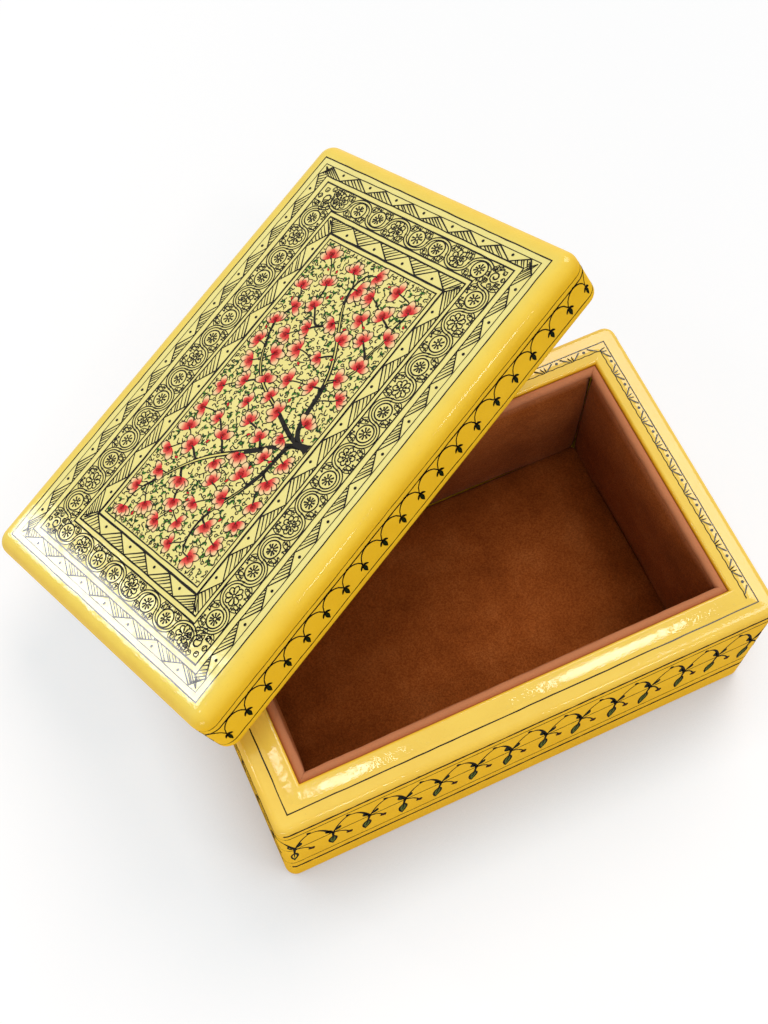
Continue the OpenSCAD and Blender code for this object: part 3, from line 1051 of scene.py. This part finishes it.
def lid_sides():
    """Two lines, a row of arches that hang from the lower one with a fleur at each foot, and a
    line near the edge."""
    ink = Ink("lid_side_swags", LID_SIDES, 21, SIDE_PAINT)
    for z, weight in ((LID_LINE + 2.0, 0.26), (LID_LINE, 0.5), (LID_LOW_LINE, 0.36)):
        around(ink, LID_L, LID_W, z, weight)
    count, pitch = repeats(LID_L, LID_W, ARCH)
    foot = LID_LINE - 4.2
    for i in range(count):
        u = (i + 0.5) * pitch + ink.vary(-0.25, 0.25)
        # An arch from this foot to the next, whose top thickens where it meets the line
        t = np.linspace(0, 1, 11)
        arch = np.stack([u + pitch * t, foot + 4.0 * np.sin(np.pi * t) ** 0.62], axis=1)
        ink.stroke(arch, 0.42 + 0.28 * np.sin(np.pi * t) ** 3)
        top = [(u + pitch * f, LID_LINE - d) for f, d in ((0.38, 0.3), (0.5, 0.12), (0.64, 0.35))]
        ink.stroke(top, (0.25, 0.9, 0.25))
        ink.stroke([(u, foot + 0.4), (u, foot - 1.2)], (0.55, 0.8))
        for side in (-1, 1):
            petal = bezier((u, foot - 0.7), (u + side * 0.9, foot - 0.7),
                           (u + side * 1.75, foot - 1.9), steps=5)
            ink.stroke(petal, (0.6, 1.0, 0.95, 0.75, 0.3))
        tip = (u + ink.vary(-0.2, 0.2), foot - 3.9)
        ink.almond((u, foot - 0.9), tip, 1.3, LEAF_DEEP, 0.3)


def case_sides():
    """Ruled lines and a running vine with hanging leaves round the case."""
    lines = Ink("case_side_lines", CASE_SIDES, 31, SIDE_PAINT)
    for z, weight, colour in CASE_LINES:
        around(lines, BASE_L, BASE_W, z, weight, colour)
    vine = Ink("case_side_vine", CASE_SIDES, 32, SIDE_PAINT)
    count, pitch = repeats(BASE_L, BASE_W, VINE)
    vary = vine.vary
    for i in range(count):
        u = (i + 0.35) * pitch + vary(-0.35, 0.35)
        x, z = u + 0.45 * pitch, CREST_Z + vary(-0.5, 0.5)
        rise = bezier((u, NODE_Z), (u + 0.12 * pitch, NODE_Z + 8), (x - 1.6, z - 0.4), (x, z))
        vine.stroke(rise, np.linspace(0.7, 0.6, 10))
        fall = bezier((x, z), (x + 3.6, z + 0.1), (u + pitch - 1.7, NODE_Z + 7.5),
                      (u + pitch, NODE_Z), steps=11)
        vine.stroke(fall, np.linspace(0.6, 1.3, 11))
        vine.stroke([(x + 0.3, z - 0.3), (x - 0.3, z + 0.8), (x - 0.75, z + 2.2)], (1.3, 1.6, 0.4))
        # Dark leaves just above the node
        for side, tall in ((-1, 7.2), (1, 6.2)):
            tip = (u + side * vary(1.8, 2.8), NODE_Z + tall + vary(-0.6, 0.6))
            vine.almond((u + side * 0.35, NODE_Z + 1.6), tip, 1.7, LEAF_DEEP, 0.4, bend=-0.5 * side)
        # The leaf that hangs from the node
        low, sway = NODE_Z - vary(14.5, 17), vary(-1.9, -0.3)
        neck = u + sway * 0.4
        vine.stroke([(u, NODE_Z + 1), (neck, NODE_Z - 5.2)], (1.2, 0.7))
        vine.almond((neck, NODE_Z - 4.6), (u + sway, low), 2.7, OLIVE, 0.7, steps=6)
        vine.stroke([(neck, NODE_Z - 5), (u + sway * 0.8, low + 4)], (0.6, 0.3), INK, 0.08)
        # The bud on its bent stalk
        x, z = u + vary(4.4, 5.4), NODE_Z - vary(5.6, 8.2)
        stalk = bezier((u + 0.2, NODE_Z - 0.3), (u + 2.4, NODE_Z - 1.2), (x - 0.8, z + 2.6), (x, z),
                       steps=7)
        vine.stroke(stalk, (1.0, 0.8, 0.66, 0.6, 0.6, 0.6, 0.7))
        vine.almond((x - 0.2, z + 0.4), (x + 0.9, z - 2.9), 2.0, BROWN, 0.35)


def rim():
    """The ledge's black line, and the pattern between it and the lip on the right and back."""
    def ledge(x, y, h):
        inset = np.minimum(COLLAR_L / 2 - np.abs(x), COLLAR_W / 2 - np.abs(y))
        return np.stack([x, y, BASE_H + h + lip_height(inset)], axis=1)

    ink = Ink("rim_ornament", ledge, 41, PAINT)
    line = (BASE_L / 2 - RIM_LINE, BASE_W / 2 - RIM_LINE)
    ink.ruled(*line, 0.4, wobble=0.04)
    for at, length, depth in band_sides(line, (COLLAR_L / 2 - 0.5, COLLAR_W / 2 - 0.5))[1:3]:
        count = round(length / 11)
        step = (length - 2 * depth) / count
        ink.stroke([at(depth * 0.8 + s, depth - 0.1 + 0.15 * sin(s * 1.7))
                    for s in np.arange(0, length - depth * 1.6, 1.3)], 0.36)
        high, low = depth * 0.9, depth * 0.15
        for i in range(count):
            s = depth + (i + 0.5) * step
            ink.dot(at(s, depth * 0.4), 0.55)
            ink.stroke([at(s - step * 0.42, high), at(s - 1.6, low)], (0.36, 0.55))
            ink.stroke([at(s + 1.6, low), at(s + step * 0.42, high)], (0.55, 0.36))
            for d in (-0.8, 0.4):
                a, b = s + step / 2 + d * 0.6, s + step / 2 + d * 1.3 + 0.4
                ink.stroke([at(a, high), at(b, depth * 0.25)], (0.45, 0.26))


lid_top()
tree_panel()
lid_sides()
case_sides()
rim()
for ink in Ink.drawn:
    ink.piece()


# ---- studio ----

# The photograph's view: place in mm, direction, the image's right, and in pixels of its frame the
# focal length and principal point
EYE, LOOK = Vector((-98.14, -160.49, 529.46)), Vector((0.17343, 0.36811, -0.91346))
RIGHT = Vector((0.90793, -0.41912, 0.00348))
FOCAL, CENTRE_X, CENTRE_Y, WIDTH, HEIGHT = 1500.9, 395.46, 507.94, 768, 1024
SENSOR = 36
WORLD_LIGHT = 0.42
FLOOR_LIGHT = 0.98   # what the lamps and the world together give an open white floor
SHADOW = (0.42, 0.35, 0.31)
FLOOR_HALF = 3.0     # metres
SUN_LEVEL, SUN_WIDTH, SUN_WAY = 1.55, 34, (0.45, 0.42, 0.79)
# Area lamps: place and aim in metres, size, watts and the direction of the size's first side. The
# fill is broad. The coat mirrors the narrow strips to the camera, along the lid's left end and on
# the lip's front and left bevels.
LAMPS = (
    ("front_fill", (-1.1, -1.5, 0.36), (0, 0, 0.05), (0.9, 0.6), 9, (1, 0, 0)),
    ("lid_strip", (-0.594, 0.735, 0.351), (-0.116, 0.031, 0.069), (0.30, 0.048), 0.85,
     (-0.085, 0.671, -0.737)),
    ("front_strip", (0.306, -0.441, 0.945), (0.036, -0.053, 0.067), (0.16, 0.12), 0.9, (1, 0, 0)),
    ("corner_strip", (-0.011, -0.456, 0.979), (-0.07, -0.053, 0.067), (0.07, 0.12), 0.42,
     (1, 0, 0)),
    ("left_strip", (-0.627, 0.24, 0.858), (-0.08, -0.03, 0.067), (0.12, 0.12), 0.45, (0, 1, 0)),
)


def aim(obj, at, back, right):
    """Puts obj at a place in metres, looking away from back, with its x nearly along right."""
    right = (right - back * right.dot(back)).normalized()
    axes = Matrix((right, back.cross(right), back)).transposed().to_4x4()
    obj.matrix_world = Matrix.Translation(at) @ axes


def camera():
    data = bpy.data.cameras.new("camera")
    data.sensor_fit, data.sensor_width = "HORIZONTAL", SENSOR
    data.lens = FOCAL / WIDTH * SENSOR
    data.shift_x = (WIDTH / 2 - CENTRE_X) / WIDTH
    data.shift_y = (CENTRE_Y - HEIGHT / 2) / WIDTH
    data.clip_start, data.clip_end = 0.01, 20
    obj = link("camera", data)
    aim(obj, EYE * MM, -LOOK.normalized(), RIGHT)
    bpy.context.scene.camera = obj


def lamp(name, at, target, size, watts, along):
    data = bpy.data.lights.new(name, "AREA")
    data.shape, data.energy = "RECTANGLE", watts
    data.size, data.size_y = size
    aim(link(name, data), at, (Vector(at) - Vector(target)).normalized(), Vector(along))


def seen_or_lit(n, seen, lit):
    """Shader that camera, glossy and transmission rays see as seen, and other rays as lit."""
    path = n.add("LightPath").outputs
    direct = path["Is Camera Ray"]
    for name in ("Is Glossy Ray", "Is Transmission Ray"):
        either = {0: direct, 1: path[name]}
        direct = n.add("Math", either, operation="MAXIMUM").outputs[0]
    return n.add("MixShader", {0: direct, 1: lit, 2: seen}).outputs[0]


def world():
    """White where it is seen, and a soft even light."""
    n = Nodes(bpy.data.worlds.new("studio"))
    n.tree.nodes.clear()
    white, soft = (n.add("Background", {"Color": (1, 1, 1), "Strength": s}).outputs[0]
                   for s in (1, WORLD_LIGHT))
    n.add("OutputWorld", {"Surface": seen_or_lit(n, white, soft)})
    bpy.context.scene.world = n.data


def floor():
    """A pale floor. What the camera sees of it is white, darkened by the object's shadow in the
    shares of red, green and blue that SHADOW gives. Red has the most, as the object's yellow
    bounce would tint the shadow."""
    n = Nodes(bpy.data.materials.new("studio_floor"))
    n.tree.nodes.clear()
    plain, part = (n.add("BsdfDiffuse", {"Color": c}).outputs[0]
                   for c in ((0.8, 0.8, 0.8), SHADOW))
    # Painted contact shadow: the glow dims where ambient occlusion finds the object close, so the
    #     # shadow deepens where the object shuts the floor in
    near = n.add("AmbientOcclusion", {"Distance": 0.03}, samples=8).outputs["AO"]
    rest = {"Color": tuple(1 - FLOOR_LIGHT * c for c in SHADOW),
            "Strength": n.range(near, 0.3, 0.97, 0.35, 1.0)}
    both = {0: part, 1: n.add("Emission", rest).outputs[0]}
    seen = n.add("AddShader", both).outputs[0]
    n.add("OutputMaterial", {"Surface": seen_or_lit(n, seen, plain)})
    mesh = bpy.data.meshes.new("studio_floor")
    a = FLOOR_HALF
    mesh.from_pydata([(-a, -a, 0), (a, -a, 0), (a, a, 0), (-a, a, 0)], [], [(0, 1, 2, 3)])
    mesh.materials.append(n.data)
    link("studio_floor", mesh)


bpy.context.scene.view_settings.view_transform = "Standard"
camera()
world()
floor()
sun = link("key", bpy.data.lights.new("key", "SUN"))
sun.data.energy, sun.data.angle = SUN_LEVEL, radians(SUN_WIDTH)
sun.matrix_world = Vector(SUN_WAY).to_track_quat("Z", "Y").to_matrix().to_4x4()
for row in LAMPS:
    lamp(*row)
